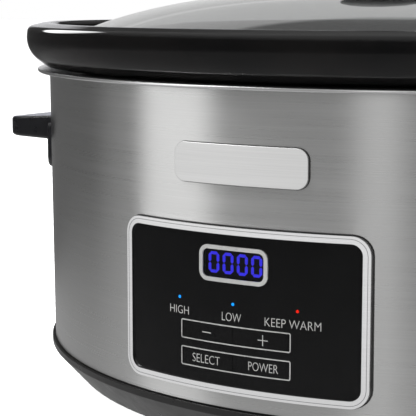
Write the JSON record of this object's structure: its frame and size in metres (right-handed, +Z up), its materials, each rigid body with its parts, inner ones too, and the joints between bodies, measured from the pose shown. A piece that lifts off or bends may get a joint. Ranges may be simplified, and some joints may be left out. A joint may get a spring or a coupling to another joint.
{
  "type": "slow cooker",
  "caption": "Oval electric slow cooker: steel housing with a front control panel, lift-out stoneware crock and domed glass lid.",
  "frame": {"origin": "under the middle of the housing, on the plane that the rubber feet stand on", "axes": "+X along the oval towards the right-hand handle, -Y out of the control panel, +Z up"},
  "size_m": [0.4094, 0.2858, 0.2278],
  "materials": {
    "brushed_steel": "horizontal brushed satin",
    "bright_steel": "polished rolled edge",
    "well_steel": "deep-drawn, aluminised",
    "badge_steel": "fine horizontal brushed",
    "zinc_steel": "zinc plated",
    "sheet_aluminium": "plain sheet",
    "bezel_chrome": "satin chrome",
    "frame_metal": "silver print on trim",
    "brass": "plain",
    "transformer_iron": "varnished laminations",
    "glazed_stoneware": "black glaze",
    "lid_glass": "clear tempered",
    "display_window": "smoked clear",
    "black_plastic": "fine moulded grain",
    "handle_plastic": "satin moulded",
    "knob_plastic": "satin phenolic",
    "panel_gloss": "polished",
    "display_black": "matt",
    "switch_plastic": "moulded",
    "terminal_plastic": "moulded nylon",
    "cable_grey": "flat cable",
    "circuit_board": "solder mask",
    "digit_blue": "lit segments",
    "light_blue": "lit light pipe",
    "light_red": "lit light pipe",
    "foot_rubber": "matt",
    "silicone": "matt",
    "glass_cloth": "woven glass sleeve"
  },
  "bodies": {
    "housing": {"badge_clips": "zinc_steel", "badge_plate": "badge_steel", "band_clamp": "zinc_steel", "base_pan": "black_plastic", "board_cable": "cable_grey", "board_screws": "zinc_steel", "cable_headers": "terminal_plastic", "control_board": "circuit_board", "display_digits": "digit_blue", "display_frame": "frame_metal", "display_module": "display_black", "display_window": "display_window", "foot_screws": "zinc_steel", "fuse_clip": "sheet_aluminium", "handle_left": "handle_plastic", "handle_reinforcements": "zinc_steel", "handle_right": "handle_plastic", "handle_screws": "zinc_steel", "heat_shield": "sheet_aluminium", "heater_leads": "glass_cloth", "heating_band": "glass_cloth", "heating_well": "well_steel", "inlet_bushing": "handle_plastic", "inlet_nut": "handle_plastic", "key_switches": "switch_plastic", "light_high": "light_blue", "light_low": "light_blue", "light_warm": "light_red", "outer_wrap": "brushed_steel", "panel_bezel": "bezel_chrome", "panel_face": "panel_gloss", "panel_tray": "black_plastic", "power_board": "circuit_board", "power_board_screws": "zinc_steel", "relay": "switch_plastic", "rim_ring": "bright_steel", "rubber_feet": "foot_rubber", "temperature_sensor": "zinc_steel", "terminal_block": "terminal_plastic", "thermal_fuse": "brass", "tie_nut": "zinc_steel", "tie_stud": "zinc_steel", "tie_washer": "zinc_steel", "transformer": "transformer_iron"},
    "crock": {"crock": "glazed_stoneware"},
    "lid": {"lid_glass": "lid_glass", "knob_pad": "silicone", "lid_knob": "knob_plastic", "knob_screw": "bright_steel"},
    "key_minus": {"key_minus": "panel_gloss"},
    "key_plus": {"key_plus": "panel_gloss"},
    "key_select": {"key_select": "panel_gloss"},
    "key_power": {"key_power": "panel_gloss"}
  },
  "joints": [
    {"name": "crock_lift", "type": "slide", "parent": "housing", "child": "crock", "axis": [0, 0, 1], "range_m": [0, 0.14]},
    {"name": "lid_lift", "type": "slide", "parent": "crock", "child": "lid", "axis": [0, 0, 1], "range_m": [0, 0.08]},
    {"name": "press_minus", "type": "slide", "parent": "housing", "child": "key_minus", "axis": [0, 1, 0], "range_m": [0, 0.0004], "stiffness_N_per_m": 4000},
    {"name": "press_plus", "type": "slide", "parent": "housing", "child": "key_plus", "axis": [0, 1, 0], "range_m": [0, 0.0004], "stiffness_N_per_m": 4000},
    {"name": "press_select", "type": "slide", "parent": "housing", "child": "key_select", "axis": [0, 1, 0], "range_m": [0, 0.0004], "stiffness_N_per_m": 4000},
    {"name": "press_power", "type": "slide", "parent": "housing", "child": "key_power", "axis": [0, 1, 0], "range_m": [0, 0.0004], "stiffness_N_per_m": 4000}
  ]
}
